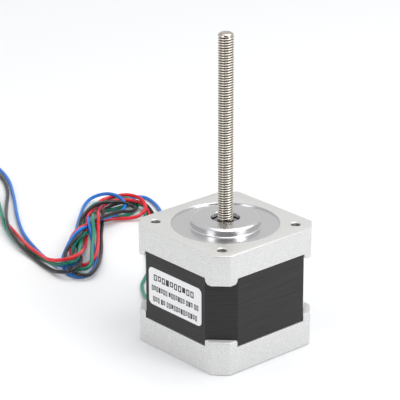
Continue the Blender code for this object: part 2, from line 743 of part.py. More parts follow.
def housing_screws():
    for number, (x, y) in enumerate(corners(), 1):
        profile = [
            (0, SHANK_TOP),
            (SHANK_RADIUS - 0.3 * MM, SHANK_TOP),
            (SHANK_RADIUS, SHANK_TOP - 0.3 * MM),
            (SHANK_RADIUS, HEAD_TOP),
            (HEAD_RADIUS, HEAD_TOP),
            (HEAD_RADIUS, HEAD_BOTTOM + 1.0 * MM),
            (HEAD_RADIUS - 0.8 * MM, HEAD_BOTTOM),
            (0, HEAD_BOTTOM),
        ]
        screw = turned(f"housing_screw_{number}", profile, SCREW_STEEL, SMALL_STEPS, (x, y, 0.0))
        long = 1.5 * MM
        thin = 0.3 * MM
        slots = ((long, thin), (thin, long))
        arms = []
        for arm, (half_x, half_y) in enumerate(slots, 1):
            low = (x - half_x, y - half_y, -MM)
            high = (x + half_x, y + half_y, HEAD_BOTTOM + 1.2 * MM)
            arms.append(box(f"screw_{number}_slot_{arm}", low, high))
        for arm in arms:
            boolean(screw, arm)


def rating_label():
    outline = rounded_rectangle(LABEL_WIDTH / 2, LABEL_HEIGHT / 2, LABEL_CORNER, 5)
    mesh = plate_mesh([outline], LABEL_THICKNESS)
    mesh.transform(Matrix.Rotation(math.pi / 2, 4, "X"))
    y = -STACK_HALF - LABEL_OFFSET - LABEL_THICKNESS / 2
    place("rating_label", mesh, WHITE, (0.0, y, LABEL_CENTRE_Z))


def terminal_board():
    """A sector of a ring under the windings, next to the lead outlet."""
    inner = HOUSING_WALL_RADIUS + 2 * FIT_GAP
    outer = CAVITY_RADIUS - 2 * FIT_GAP
    spread = math.radians(32)
    steps = 10
    angles = [math.pi - spread + 2 * spread * step / steps for step in range(steps + 1)]
    outline = [polar(outer, a) for a in angles] + [polar(inner, a) for a in reversed(angles)]
    plate("terminal_board", [outline], 3.5 * MM, 4.5 * MM, BOARD)


def lead_grommet():
    """A block in the rear cap's notch with one hole for each lead."""
    outside = -FRAME_HALF + 0.05 * MM
    half = OUTLET_HALF_WIDTH - FIT_GAP
    bottom = OUTLET_BOTTOM + FIT_GAP
    top = REAR_CAP_TOP - 0.1 * MM
    grommet = box("lead_grommet", (outside, -half, bottom), (outside + GROMMET_DEPTH, half, top), GROMMET)
    for number, y in enumerate(lead_places(), 1):
        reach = GROMMET_DEPTH
        cutter = turned(
            f"lead_hole_{number}",
            [(0, reach), (LEAD_HOLE_RADIUS, reach), (LEAD_HOLE_RADIUS, -reach), (0, -reach)],
            None,
            12,
            (outside + GROMMET_DEPTH / 2, y, LEAD_HEIGHT),
        )
        cutter.rotation_euler = (0.0, math.pi / 2, 0.0)
        boolean(grommet, cutter)


def lead_places():
    """The leads' places across the outlet, from -Y to +Y."""
    return [(number - 1.5) * LEAD_PITCH for number in range(4)]


def curve_through(points):
    """A smooth curve through the points: a centripetal Catmull-Rom spline, finely divided."""
    ends = [2 * points[0] - points[1]] + points + [2 * points[-1] - points[-2]]
    line = []
    for p0, p1, p2, p3 in zip(ends, ends[1:], ends[2:], ends[3:]):
        t0 = 0.0
        t1 = t0 + math.sqrt((p1 - p0).length)
        t2 = t1 + math.sqrt((p2 - p1).length)
        t3 = t2 + math.sqrt((p3 - p2).length)
        for step in range(12):
            t = t1 + (t2 - t1) * step / 12
            a1 = p0.lerp(p1, (t - t0) / (t1 - t0))
            a2 = p1.lerp(p2, (t - t1) / (t2 - t1))
            a3 = p2.lerp(p3, (t - t2) / (t3 - t2))
            b1 = a1.lerp(a2, (t - t0) / (t2 - t0))
            b2 = a2.lerp(a3, (t - t1) / (t3 - t1))
            line.append(b1.lerp(b2, (t - t1) / (t2 - t1)))
    line.append(points[-1])
    return line


def evenly_spaced(line, spacing):
    """Points along the line, all the same distance apart, with both its ends."""
    lengths = [(b - a).length for a, b in zip(line, line[1:])]
    total = sum(lengths)
    count = max(1, round(total / spacing))
    spaced = [line[0]]
    walked = 0.0
    for start, end, length in zip(line, line[1:], lengths):
        while len(spaced) < count and len(spaced) * total / count <= walked + length:
            spaced.append(start.lerp(end, (len(spaced) * total / count - walked) / length))
        walked += length
    spaced.append(line[-1])
    return spaced


def tube(name, points, radius, finish):
    curve = bpy.data.curves.new(name, "CURVE")
    curve.dimensions = "3D"
    curve.bevel_depth = radius
    curve.bevel_resolution = 2
    curve.use_fill_caps = True
    spline = curve.splines.new("POLY")
    spline.points.add(len(points) - 1)
    for place_, point in zip(spline.points, points):
        place_.co = (*point, 1.0)
    spline.use_smooth = True
    place(name, curve, finish)


def leads():
    """Each lead as two tubes, one on either side of the bundle, and its bare tinned end."""
    for colour, finish in LEAD_COLOURS.items():
        for number, routes in enumerate((TO_BUNDLE, FROM_BUNDLE), 1):
            route = [Vector(point) * MM for point in routes[colour]]
            line = evenly_spaced(curve_through(route), LEAD_POINT_STEP)
            tube(f"wire_{colour}_{number}", line, LEAD_RADIUS, finish)
        onward = (line[-1] - line[-2]).normalized()
        start = line[-1] + onward * FIT_GAP
        tube(f"wire_{colour}_end", [start, start + onward * BARE_LENGTH], BARE_RADIUS, TINNED)


def lead_bundle():
    outline = [(x * MM, y * MM) for x, y in BUNDLE_OUTLINE]
    plate("lead_bundle", [outline], BUNDLE_BOTTOM, BUNDLE_TOP, LEAD_COLOURS["black"])


front_end_cap()
rear_end_cap()
stator_core()
insulator("insulator_front", STACK_TOP + FIT_GAP)
insulator("insulator_rear", STACK_BOTTOM - FIT_GAP - INSULATOR_THICKNESS)
coils()
rotor()
lead_screw()
bearing("rear", REAR_BEARING_BOTTOM)
bearing("front", FRONT_BEARING_BOTTOM)
wave_washer()
housing_screws()
rating_label()
terminal_board()
lead_grommet()
lead_bundle()
leads()
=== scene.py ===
"""Looks of the stepper motor with lead screw: finely shaped shells over the CAD frame, and every finish."""

import math

import bmesh
import bpy
from mathutils import Matrix, Vector


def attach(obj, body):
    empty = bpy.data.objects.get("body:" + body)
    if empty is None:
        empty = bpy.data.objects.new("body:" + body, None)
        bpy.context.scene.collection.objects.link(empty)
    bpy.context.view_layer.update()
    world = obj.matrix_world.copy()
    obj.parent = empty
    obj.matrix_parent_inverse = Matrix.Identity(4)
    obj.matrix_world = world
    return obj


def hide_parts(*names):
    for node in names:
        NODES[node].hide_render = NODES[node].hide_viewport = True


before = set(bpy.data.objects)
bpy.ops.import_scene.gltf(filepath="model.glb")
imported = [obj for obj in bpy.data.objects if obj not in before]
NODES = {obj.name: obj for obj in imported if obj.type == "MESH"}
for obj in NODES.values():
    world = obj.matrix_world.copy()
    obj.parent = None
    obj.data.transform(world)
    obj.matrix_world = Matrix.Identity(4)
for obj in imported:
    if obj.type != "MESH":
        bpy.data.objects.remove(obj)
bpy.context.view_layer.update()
MM = 0.001

# Frame and caps, as in the CAD model
FRAME_HALF = 21.15 * MM
CAP_CHAMFER = 4.1 * MM
BODY_LENGTH = 40.0 * MM
REAR_CAP_TOP = 9.0 * MM
FRONT_CAP_BOTTOM = 31.9 * MM
REAR_TAB_HEIGHT = 2.2 * MM
FRONT_TAB_HEIGHT = 1.9 * MM
TAB_START = 14.1 * MM
FRONT_TAB_ROUND = 1.7 * MM
REAR_TAB_ROUND = 0.5 * MM
CAP_EDGE = 0.35 * MM
REAR_EDGE = 0.6 * MM
STACK_HALF = 21.0 * MM
STACK_FACE_HALF = 13.9 * MM
SEAT_GAP = 0.1 * MM
SEAT_STEP = 0.02 * MM
CAVITY_RADIUS = 18.6 * MM
CAP_FLOOR = 2.5 * MM
HOLE_SPACING_HALF = 15.5 * MM
MOUNT_HOLE_RADIUS = 1.5 * MM
SCREW_HOLE_RADIUS = 1.8 * MM
MOUNT_HOLE_DEPTH = 4.5 * MM
HEAD_BORE_RADIUS = 2.9 * MM
COUNTERBORE_DEPTH = 3.2 * MM
PILOT_RADIUS = 11.0 * MM
PILOT_HEIGHT = 2.0 * MM
RING_RADIUS = 17.0 * MM
RING_DEPTH = 0.5 * MM
SHAFT_HOLE_RADIUS = 4.5 * MM
BEARING_POCKET = 8.3 * MM
HOUSING_WALL_RADIUS = 10.2 * MM
FRONT_BEARING_BOTTOM = 35.4 * MM
BEARING_WIDTH = 5.0 * MM
REAR_POCKET_FLOOR = 1.7 * MM
REAR_WALL_TOP = 8.0 * MM
OUTLET_HALF_WIDTH = 6.0 * MM
OUTLET_BOTTOM = 5.2 * MM

# Screw
SHAFT_RADIUS = 2.5 * MM
SHAFT_BOTTOM = 2.1 * MM
THREAD_START = 41.2 * MM
THREAD_END = 101.1 * MM
THREAD_PITCH = 0.8 * MM
CREST_RADIUS = 2.45 * MM
ROOT_RADIUS = 2.0 * MM
SCREW_TOP = 102.0 * MM
RUN_OUT = 0.5 * MM

# Leads
LEAD_RADIUS = 0.65 * MM
LOWEST_CENTRE = 0.65 * MM

# Routes of the four leads in millimetres, as in the CAD model, with the folded stretch between
ROUTES = {
    "blue": [
        # from the outlet to the bundle
        (-21.4, 3.6, 7.1), (-24.5, 3.9, 6.9), (-30, 6.5, 4.2), (-35, 10, 2), (-41.5, 15, 0.8),
        (-50, 21.5, 0.7), (-59, 28, 0.7), (-70, 36.5, 0.7), (-81, 44.5, 0.7), (-91, 51.5, 0.7),
        # folded back on itself in the bundle
        (-99, 56, 0.7), (-106.5, 58.5, 0.7), (-110, 58.5, 0.7), (-113, 56, 0.7), (-115, 50.5, 0.7),
        (-115, 43, 0.7), (-112, 35.5, 0.8), (-108, 31, 1.6), (-103, 26.5, 3.6), (-98, 22.5, 4.8),
        (-93.5, 19.5, 4), (-90, 17.5, 2.2), (-86, 15, 0.8), (-79, 10.5, 0.7), (-73, 5.5, 0.7),
        (-69, 1, 0.7), (-67.5, -2.5, 0.7), (-68.5, -5.5, 0.7), (-73.5, -6.5, 0.7), (-80, -3, 0.7),
        (-83.5, -0.5, 1.4), (-86.5, 3.5, 3), (-90.5, 9.5, 4.4), (-93, 15, 5), (-96, 20.5, 3.6),
        (-98.5, 26.5, 3.4), (-99, 33.5, 3.2), (-101, 40, 2.6), (-104, 44.5, 3.2),
        (-108, 45.5, 4.6), (-113.5, 45, 4.6), (-118.5, 44, 3), (-120.5, 41.5, 1.6),
        (-118.5, 37, 0.8), (-113.5, 31.5, 0.7), (-102.5, 20.5, 0.7), (-94, 14, 0.7),
        (-86, 9.5, 0.8), (-79.5, 3.5, 1.4), (-74.5, -2.5, 2.8), (-75.2, -5, 2.6),
        (-77.3, -5.6, 1.8), (-83.3, -4.9, 0.8),
        # on to the bare end
        (-89.6, -4, 0.7), (-98.1, -1.6, 0.7), (-105.6, 1, 0.7), (-113, 4.1, 0.7),
        (-121.6, 8.8, 0.7), (-130, 14, 0.7), (-139.5, 20.2, 0.7), (-148.3, 25.7, 0.7),
        (-156.4, 30.4, 0.7), (-164.1, 33.8, 0.7), (-171.5, 36.2, 0.7), (-178, 37.8, 0.7),
        (-183.5, 38.9, 0.7),
    ],
    "black": [
        # from the outlet to the bundle
        (-21.4, 1.2, 7.1), (-24.5, 1.5, 6.9), (-30, 3.8, 4.2), (-35.5, 7, 2), (-42.5, 12, 0.8),
        (-51, 18.5, 0.7), (-60, 25.5, 0.7), (-70, 33, 0.7), (-80, 40.5, 0.7), (-91, 48, 0.7),
        # folded back on itself in the bundle
        (-96.5, 50.5, 1.6), (-100.5, 51.5, 2.4), (-103.5, 51.5, 2.4), (-106, 50, 2.5),
        (-108, 47, 2.4), (-108.5, 43, 2.4), (-107, 38.5, 2.8), (-103.5, 34, 3.8),
        (-100, 30.5, 3.2), (-96, 27, 1.6), (-91.5, 23, 0.7), (-84.5, 17.5, 0.7),
        (-78.5, 12.5, 0.8), (-70.5, 5, 1.8), (-66, -1, 2), (-65, -4, 2), (-67.5, -6.5, 2.1),
        (-71.5, -5.5, 1.6), (-76, -3.5, 1.2), (-80, -2, 1.8), (-83, 0.5, 3.6), (-87, 8, 5),
        (-90.5, 13, 4.6), (-94, 17, 3.8), (-96, 21, 4), (-97.5, 27, 4.4), (-98, 33.5, 4.4),
        (-98.5, 38.5, 3.8), (-98, 42.5, 3), (-99.5, 45.5, 2.8), (-102.5, 45.5, 3.4),
        (-105.5, 43, 4.2), (-107.5, 38.5, 4.8), (-107, 33, 5.2), (-105, 27, 4.6), (-103, 23, 3.4),
        (-99, 19, 2.6), (-93.5, 14, 2.4), (-88, 9.5, 2), (-80.5, 4.5, 2.4), (-74.5, 0.5, 3.2),
        (-69.5, -5, 4), (-69.5, -8.5, 3.2), (-73, -9.8, 2.2), (-77.2, -9.6, 1.2),
        (-84.4, -8.7, 0.8),
        # on to the bare end
        (-89.6, -7.7, 0.8), (-92.1, -7.2, 0.9), (-99.8, -5.8, 1.5), (-106.9, -3.7, 2.1),
        (-114.3, -0.8, 2.6), (-122.2, 3.8, 2.8), (-131, 10.1, 1.9), (-139.7, 16.8, 1),
        (-147.4, 22.8, 0.7), (-153.9, 27, 0.7), (-159.6, 29.9, 0.7), (-166, 32.2, 0.7),
        (-174, 34.2, 0.7), (-182, 35.6, 0.7),
    ],
    "red": [
        # from the outlet to the bundle
        (-21.4, -1.2, 7.1), (-24.5, -1, 6.9), (-30, 0.8, 4.2), (-36, 4.2, 2), (-43.5, 9.5, 0.8),
        (-52, 16, 0.7), (-61, 23, 0.7), (-71, 30.5, 0.7), (-81, 38, 0.7), (-91, 45.5, 0.7),
        # folded back on itself in the bundle
        (-97.5, 50, 1.4), (-101, 51, 2.6), (-106, 48, 3.6), (-109, 43, 3.6), (-109.5, 39.5, 3.2),
        (-107.5, 35.5, 3.2), (-103, 31, 4.4), (-98.5, 27.5, 4.8), (-94, 23.5, 3.6),
        (-89.5, 20, 2.6), (-84, 15.5, 2.2), (-79, 11, 2.2), (-75, 6.5, 2), (-74, 3, 1.2),
        (-75.5, 1, 0.8), (-79, 1, 0.8), (-84, 3.5, 1), (-88.5, 6.5, 1.6), (-92.5, 10, 2.6),
        (-94.5, 14, 4), (-96, 19.5, 4.4), (-98.5, 25, 3), (-100.5, 31, 2), (-99.5, 36, 1.4),
        (-97, 40, 1.2), (-95, 43, 1.8), (-95, 46, 3), (-98, 49, 4), (-103, 50, 5),
        (-108.5, 48.5, 4.8), (-112, 45.5, 3.8), (-113.5, 42, 3.2), (-112.5, 38, 2.8),
        (-109, 34, 3), (-105.5, 29.5, 4), (-102, 25, 3.6), (-99, 22.5, 1.8), (-91.5, 16, 0.9),
        (-85, 10.5, 2.2), (-79.5, 5.5, 4.2), (-75, 0.5, 5.6), (-73, -4.5, 6), (-74.5, -7.5, 5.6),
        (-77.7, -8.4, 4.6), (-81.6, -8.3, 3.7), (-86, -7, 2.8),
        # on to the bare end
        (-90.3, -5.9, 2.3), (-93.6, -5.5, 2.4), (-98.5, -4.3, 2.2), (-103.3, -2.6, 1.7),
        (-108.8, -0.4, 1.2), (-114.3, 1.7, 0.8), (-122.5, 4.4, 0.7), (-128.5, 6.5, 0.7),
        (-134, 8.9, 0.7), (-142, 12.3, 0.7), (-150, 16, 0.7), (-159, 20, 0.7), (-168, 23.3, 0.7),
        (-177, 25.8, 0.7), (-184, 27.2, 0.7),
    ],
    "green": [
        # from the outlet to the bundle
        (-21.4, -3.6, 7.1), (-24.5, -3.8, 6.9), (-30, -3.6, 4.6), (-36, -1.8, 2.2), (-43, 2, 0.9),
        (-49, 6.5, 0.7), (-51.5, 9.5, 0.7), (-55, 14, 0.7), (-61, 19.5, 0.7), (-71, 27, 0.7),
        (-81, 34.5, 0.7), (-90.5, 42, 0.7),
        # folded back on itself in the bundle
        (-97, 48.5, 0.7), (-102, 53, 0.7), (-105.5, 53.5, 0.7), (-107.5, 51.5, 0.7),
        (-108, 47.5, 0.7), (-108.5, 42, 0.7), (-110.5, 37, 0.8), (-106, 31, 2.6), (-101, 27, 4.8),
        (-95.5, 22.5, 5.4), (-89.5, 18, 3.8), (-81, 10.5, 3.2), (-75, 5.5, 3.2), (-71, 2, 2.6),
        (-70.5, -0.3, 1.6), (-73, -1.8, 0.9), (-77, -1, 0.7), (-81, 1, 0.7), (-85.5, 5, 1.2),
        (-89, 10, 3.2), (-92, 15, 3), (-95, 20, 1.8), (-101, 28, 0.7), (-102.5, 33, 0.7),
        (-101, 40, 0.7), (-101.5, 46, 0.7), (-105, 51, 1.2), (-109, 51, 2.2), (-112, 49.5, 2.2),
        (-113.5, 46.5, 2), (-112, 41, 2.8), (-110, 35.5, 4.2), (-107.5, 29.5, 3.8),
        (-104, 25, 1.6), (-99, 20, 1), (-92, 14.5, 1.6), (-87.5, 10.5, 2.8), (-81, 5, 4.2),
        (-75, -0.5, 4.5), (-73, -4, 4.4), (-74, -6.5, 4.2), (-76.6, -7.6, 3.3), (-80.3, -7.6, 2.4),
        (-85, -6.4, 1.5),
        # on to the bare end
        (-90.5, -5.4, 0.9), (-92.5, -5.1, 0.8), (-98.9, -4.3, 0.7), (-105.5, -3.2, 0.7),
        (-112.9, -1, 0.7), (-120.4, 2, 1), (-127.6, 5.7, 1.9), (-134.4, 9.8, 2.2),
        (-140.5, 13.6, 1.6), (-147, 17.5, 0.8), (-153, 20.9, 0.7), (-160.5, 24.6, 0.7),
        (-169, 28, 0.7), (-177, 30.4, 0.7), (-184, 32, 0.7),
    ],
}

# How finely round shapes are divided
ROUND_STEPS = 128
BOSS_STEPS = 160
SHANK_STEPS = 96
HOLE_STEPS = 48
THREAD_STEPS = 48
TAB_STEPS = 8
CURVE_STEPS = 12

# Print on the label, in millimetres: each row's middle, height, left end, block width, block count,
# gap, and the blocks that a wider gap comes before
PRINT_ROWS = [
    (3.2, 2.1, -10.0, 1.75, 10, 0.18, ()),
    (-0.5, 1.8, -11.0, 1.0, 20, 0.10, (7, 14, 17)),
    (-4.2, 1.8, -10.4, 1.0, 18, 0.12, (3, 5)),
]
PRINT_RIGHT = 11.4
WORD_GAP = 0.45
BLOCK_SHARE = 0.84
TALL_ROW = 2.0
WIDE_STROKE = 0.42
FINE_STROKE = 0.3
PRINT_THICKNESS = 0.02 * MM
PRINT_Y = -21.13 * MM
LABEL_CENTRE_Z = 21.1 * MM

# Camera and light
CAMERA_PLACE = (0.43712, -0.39686, 0.28152)
CAMERA_FORWARD = (-0.69666, 0.61561, -0.36838)
CAMERA_LENS = 183.5
CAMERA_ROLL = -0.14
WORLD_STRENGTH = 0.7
DIM_SHARE = 0.15
DIM_DIRECTION = (0.749, -0.662, 0.0)
DIM_FROM = 0.62
DIM_FULL = 0.86


def collection(name, hidden=False):
    made = bpy.data.collections.new(name)
    made.hide_render = hidden
    bpy.context.scene.collection.children.link(made)
    return made


LOOKS = collection("looks")
CUTTERS = collection("cutters", hidden=True)


# Materials


class Finish:
    """A Principled material with helpers for the nodes that vary it."""

    def __init__(self, name, colour, roughness, metallic=0.0):
        self.material = bpy.data.materials.new(name)
        self.material.use_nodes = True
        self.nodes = self.material.node_tree.nodes
        self.links = self.material.node_tree.links
        self.shader = self.nodes["Principled BSDF"]
        self.colour = colour
        self.set("Base Color", (*colour, 1.0))
        self.set("Roughness", roughness)
        self.set("Metallic", metallic)

    def set(self, socket, value):
        self.shader.inputs[socket].default_value = value

    def place(self, stretch=(1.0, 1.0, 1.0)):
        """Object coordinates in millimetres, stretched."""
        coordinates = self.nodes.new("ShaderNodeTexCoord")
        mapping = self.nodes.new("ShaderNodeMapping")
        mapping.inputs["Scale"].default_value = [1000.0 * value for value in stretch]
        self.links.new(coordinates.outputs["Object"], mapping.inputs["Vector"])
        return mapping.outputs["Vector"]

    def noise(self, scale, detail=3.0, stretch=(1.0, 1.0, 1.0)):
        texture = self.nodes.new("ShaderNodeTexNoise")
        texture.inputs["Scale"].default_value = scale
        texture.inputs["Detail"].default_value = detail
        self.links.new(self.place(stretch), texture.inputs["Vector"])
        return texture.outputs["Fac"]

    def bands(self, scale, direction, distortion=0.0):
        texture = self.nodes.new("ShaderNodeTexWave")
        texture.bands_direction = direction
        texture.inputs["Scale"].default_value = scale
        texture.inputs["Distortion"].default_value = distortion
        self.links.new(self.place(), texture.inputs["Vector"])
        return texture.outputs["Fac"]

    def rings(self, scale):
        texture = self.nodes.new("ShaderNodeTexWave")
        texture.wave_type = "RINGS"
        texture.rings_direction = "Z"
        texture.inputs["Scale"].default_value = scale
        self.links.new(self.place(), texture.inputs["Vector"])
        return texture.outputs["Fac"]

    def from_axis(self, low_mm, high_mm):
        """How far out from the Z axis, as 0 at low_mm and 1 at high_mm."""
        length = self.nodes.new("ShaderNodeVectorMath")
        length.operation = "LENGTH"
        self.links.new(self.place((1.0, 1.0, 0.0)), length.inputs[0])
        spread = self.nodes.new("ShaderNodeMapRange")
        spread.inputs["From Min"].default_value = low_mm
        spread.inputs["From Max"].default_value = high_mm
        self.links.new(length.outputs["Value"], spread.inputs["Value"])
        return spread.outputs["Result"]

    def ramp(self, value, low, high, start=0.3, end=0.7):
        ramp = self.nodes.new("ShaderNodeValToRGB")
        ramp.color_ramp.elements[0].position = start
        ramp.color_ramp.elements[1].position = end
        ramp.color_ramp.elements[0].color = (*low, 1.0)
        ramp.color_ramp.elements[1].color = (*high, 1.0)
        self.links.new(value, ramp.inputs["Fac"])
        self.links.new(ramp.outputs["Color"], self.shader.inputs["Base Color"])
        return self

    def rough(self, value, low, high):
        spread = self.nodes.new("ShaderNodeMapRange")
        spread.inputs["To Min"].default_value = low
        spread.inputs["To Max"].default_value = high
        self.links.new(value, spread.inputs["Value"])
        self.links.new(spread.outputs["Result"], self.shader.inputs["Roughness"])
        return self

    def bump(self, value, depth_mm, strength=1.0):
        bump = self.nodes.new("ShaderNodeBump")
        bump.inputs["Distance"].default_value = depth_mm * MM
        bump.inputs["Strength"].default_value = strength
        earlier = self.shader.inputs["Normal"].links
        if earlier:
            self.links.new(earlier[0].from_socket, bump.inputs["Normal"])
        self.links.new(value, bump.inputs["Height"])
        self.links.new(bump.outputs["Normal"], self.shader.inputs["Normal"])
        return self


def scaled(colour, factor):
    return tuple(min(1.0, value * factor) for value in colour)


def varied(name, colour, roughness, metallic, scale, spread, depth):
    """A finish with a fine noise in its colour, roughness and relief."""
    finish = Finish(name, colour, roughness, metallic)
    noise = finish.noise(scale)
    finish.ramp(noise, scaled(colour, 1 - spread), scaled(colour, 1 + spread))
    finish.rough(noise, roughness * 0.85, roughness * 1.15)
    finish.bump(noise, depth)
    return finish


def cast_finish():
    finish = Finish("cast_aluminium", (0.70, 0.70, 0.70), 0.42, 0.35)
    grain = finish.noise(3.2, 2.0)
    finish.ramp(grain, (0.60, 0.60, 0.60), (0.80, 0.80, 0.80))
    finish.rough(grain, 0.34, 0.5)
    finish.bump(grain, 0.04, 0.7)
    return finish.material


def milled_finish():
    finish = Finish("milled_aluminium", (0.74, 0.735, 0.72), 0.34, 0.6)
    grain = finish.noise(1.6, 2.0)
    finish.ramp(grain, (0.71, 0.705, 0.69), (0.77, 0.765, 0.75))
    finish.rough(grain, 0.3, 0.38)
    finish.bump(grain, 0.006, 0.4)
    return finish.material


def turned_finish():
    finish = Finish("turned_aluminium", (0.70, 0.70, 0.71), 0.24, 0.95)
    grooves = finish.rings(1.6)
    finish.ramp(grooves, (0.64, 0.64, 0.65), (0.76, 0.76, 0.77))
    finish.bump(grooves, 0.003, 0.25)
    return finish.material


def tapped_shade_finish():
    """The wall of a threaded hole, darkened with painted shade, with painted highlights on the thread
    bands.
    """
    finish = Finish("tapped_hole_painted_shade", (0.12, 0.12, 0.12), 0.3, 0.9)
    thread = finish.bands(0.63, "Z")
    finish.ramp(thread, (0.02, 0.02, 0.02), (0.45, 0.45, 0.44))
    finish.bump(thread, 0.2)
    return finish.material


def lamination_finish():
    finish = Finish("black_lamination", (0.014, 0.014, 0.015), 0.4)
    streaks = finish.noise(1.0, 4.0, (0.06, 0.06, 2.4))
    finish.ramp(streaks, (0.006, 0.006, 0.007), (0.022, 0.021, 0.021))
    finish.rough(streaks, 0.32, 0.5)
    finish.bump(streaks, 0.03, 0.6)
    finish.set("Specular IOR Level", 0.38)
    return finish.material


def lead_finish(name, colour):
    finish = Finish(name, colour, 0.2)
    mottle = finish.noise(0.25, 2.0)
    finish.ramp(mottle, scaled(colour, 0.9), scaled(colour, 1.1))
    finish.bump(finish.noise(1.2, 2.0), 0.01, 0.5)
    finish.set("Specular IOR Level", 0.5)
    return finish.material


def wound_finish():
    finish = Finish("enamelled_copper", (0.45, 0.16, 0.05), 0.28, 0.9)
    turns = finish.bands(1.1, "Z")
    finish.ramp(turns, (0.30, 0.09, 0.03), (0.55, 0.21, 0.08))
    finish.bump(turns, 0.1)
    return finish.material


def strand_finish():
    finish = Finish("tinned_strands", (0.62, 0.61, 0.58), 0.3, 1.0)
    strands = finish.bands(1.4, "DIAGONAL")
    finish.ramp(strands, (0.40, 0.39, 0.37), (0.72, 0.71, 0.69))
    finish.bump(strands, 0.08)
    return finish.material


def screw_finish():
    """Rolled thread, coloured by distance from the axis: painted shade in the roots, painted highlight on
    the crests.
    """
    finish = Finish("screw_steel", (0.60, 0.56, 0.50), 0.22, 1.0)
    # The root colour is painted shade and the crest colour a painted highlight
    finish.ramp(finish.from_axis(2.0, 2.45), (0.13, 0.115, 0.095), (0.80, 0.75, 0.67), 0.15, 0.9)
    finish.rough(finish.noise(0.6), 0.1, 0.18)
    return finish.material


CAST = cast_finish()
MILLED = milled_finish()
TURNED = turned_finish()
TAPPED_SHADE = tapped_shade_finish()
LAMINATION = lamination_finish()
COPPER = wound_finish()
STRANDS = strand_finish()
SCREW_SHADED_METAL = screw_finish()
SHANK_METAL = varied("screw_shank_steel", (0.60, 0.56, 0.50), 0.22, 1.0, 0.6, 0.05, 0.001).material
BEARING_METAL = varied("bearing_steel", (0.58, 0.58, 0.59), 0.2, 1.0, 1.0, 0.05, 0.003).material
ROTOR_METAL = varied("rotor_steel", (0.30, 0.30, 0.31), 0.38, 1.0, 2.0, 0.12, 0.01).material
MAGNET_METAL = varied("magnet_plating", (0.22, 0.22, 0.23), 0.35, 0.8, 1.5, 0.1, 0.006).material
FASTENER_METAL = varied("fastener_steel", (0.45, 0.45, 0.46), 0.3, 1.0, 1.5, 0.1, 0.006).material
INSULATOR = varied("insulator_nylon", (0.72, 0.71, 0.66), 0.45, 0.0, 0.8, 0.04, 0.01).material
BOARD = varied("board_green", (0.03, 0.16, 0.07), 0.4, 0.0, 1.2, 0.15, 0.01).material
RUBBER = varied("grommet_rubber", (0.018, 0.018, 0.018), 0.6, 0.0, 2.0, 0.2, 0.02).material
PAPER = varied("label_film", (0.86, 0.86, 0.87), 0.38, 0.0, 0.9, 0.02, 0.004).material
INK = varied("label_ink", (0.015, 0.015, 0.018), 0.5, 0.0, 3.0, 0.25, 0.003).material
LEAD_FINISHES = {
    "blue": lead_finish("lead_blue", (0.006, 0.17, 0.60)),
    "black": lead_finish("lead_black", (0.009, 0.009, 0.010)),
    "red": lead_finish("lead_red", (0.70, 0.010, 0.022)),
    "green": lead_finish("lead_green", (0.0, 0.23, 0.145)),
}


# Shapes


def place(name, mesh, finish=None, location=(0.0, 0.0, 0.0)):
    made = bpy.data.objects.new(name, mesh)
    made.location = location
    if finish is None:
        CUTTERS.objects.link(made)
        made.hide_render = True
    else:
        LOOKS.objects.link(made)
        mesh.materials.append(finish)
    return made


def evaluated_mesh(maker):
    bpy.context.view_layer.update()
    graph = bpy.context.evaluated_depsgraph_get()
    return bpy.data.meshes.new_from_object(maker.evaluated_get(graph))


def cleaned(mesh):
    shape = bmesh.new()
    shape.from_mesh(mesh)
    bmesh.ops.remove_doubles(shape, verts=shape.verts, dist=1e-7)
    bmesh.ops.recalc_face_normals(shape, faces=shape.faces)
    shape.to_mesh(mesh)
    shape.free()
    mesh.materials.clear()
    return mesh


def plate_mesh(outlines, thickness):
    curve = bpy.data.curves.new("outline", "CURVE")
    curve.dimensions = "2D"
    curve.fill_mode = "BOTH"
    curve.extrude = thickness / 2
    for outline in outlines:
        spline = curve.splines.new("POLY")
        spline.points.add(len(outline) - 1)
        for point, (x, y) in zip(spline.points, outline):
            point.co = (x, y, 0.0, 1.0)
        spline.use_cyclic_u = True
    maker = bpy.data.objects.new("outline", curve)
    CUTTERS.objects.link(maker)
    mesh = evaluated_mesh(maker)
    bpy.data.objects.remove(maker, do_unlink=True)
    bpy.data.curves.remove(curve)
    return cleaned(mesh)


def plate(name, outlines, bottom, top, finish=None):
    return place(name, plate_mesh(outlines, top - bottom), finish, (0.0, 0.0, (bottom + top) / 2))


def turned_mesh(name, profile, steps):
    """A closed mesh turned about Z from (radius, z) points that run down its outer side."""
    mesh = bpy.data.meshes.new(name)
    shape = bmesh.new()
    rows = []
    for radius, z in profile:
        if radius == 0:
            rows.append([shape.verts.new((0.0, 0.0, z))])
            continue
        angles = [2 * math.pi * step / steps for step in range(steps)]
        rows.append([shape.verts.new((radius * math.cos(a), radius * math.sin(a), z)) for a in angles])
    for upper, lower in zip(rows, rows[1:]):
        for step in range(steps):
            after = (step + 1) % steps
            if len(upper) == 1 and len(lower) == 1:
                break
            if len(upper) == 1:
                shape.faces.new((upper[0], lower[step], lower[after]))
            elif len(lower) == 1:
                shape.faces.new((upper[step], lower[0], upper[after]))
            else:
                shape.faces.new((upper[step], lower[step], lower[after], upper[after]))
    bmesh.ops.recalc_face_normals(shape, faces=shape.faces)
    shape.to_mesh(mesh)
    shape.free()
    return mesh


def turned(name, profile, finish=None, steps=ROUND_STEPS, location=(0.0, 0.0, 0.0)):
    return place(name, turned_mesh(name, profile, steps), finish, location)


def boolean(target, other, operation="DIFFERENCE", solver="EXACT"):
    modifier = target.modifiers.new(operation.lower(), "BOOLEAN")
    modifier.operation = operation
    modifier.object = other
    modifier.solver = solver


def apply(made, degrees=30.0):
    """Turns an object's modifiers into its mesh and shades its round sides smooth."""
    mesh = evaluated_mesh(made)
    made.modifiers.clear()
    made.data = mesh
    mesh.shade_smooth()
    mesh.set_sharp_from_angle(angle=math.radians(degrees))
    return made


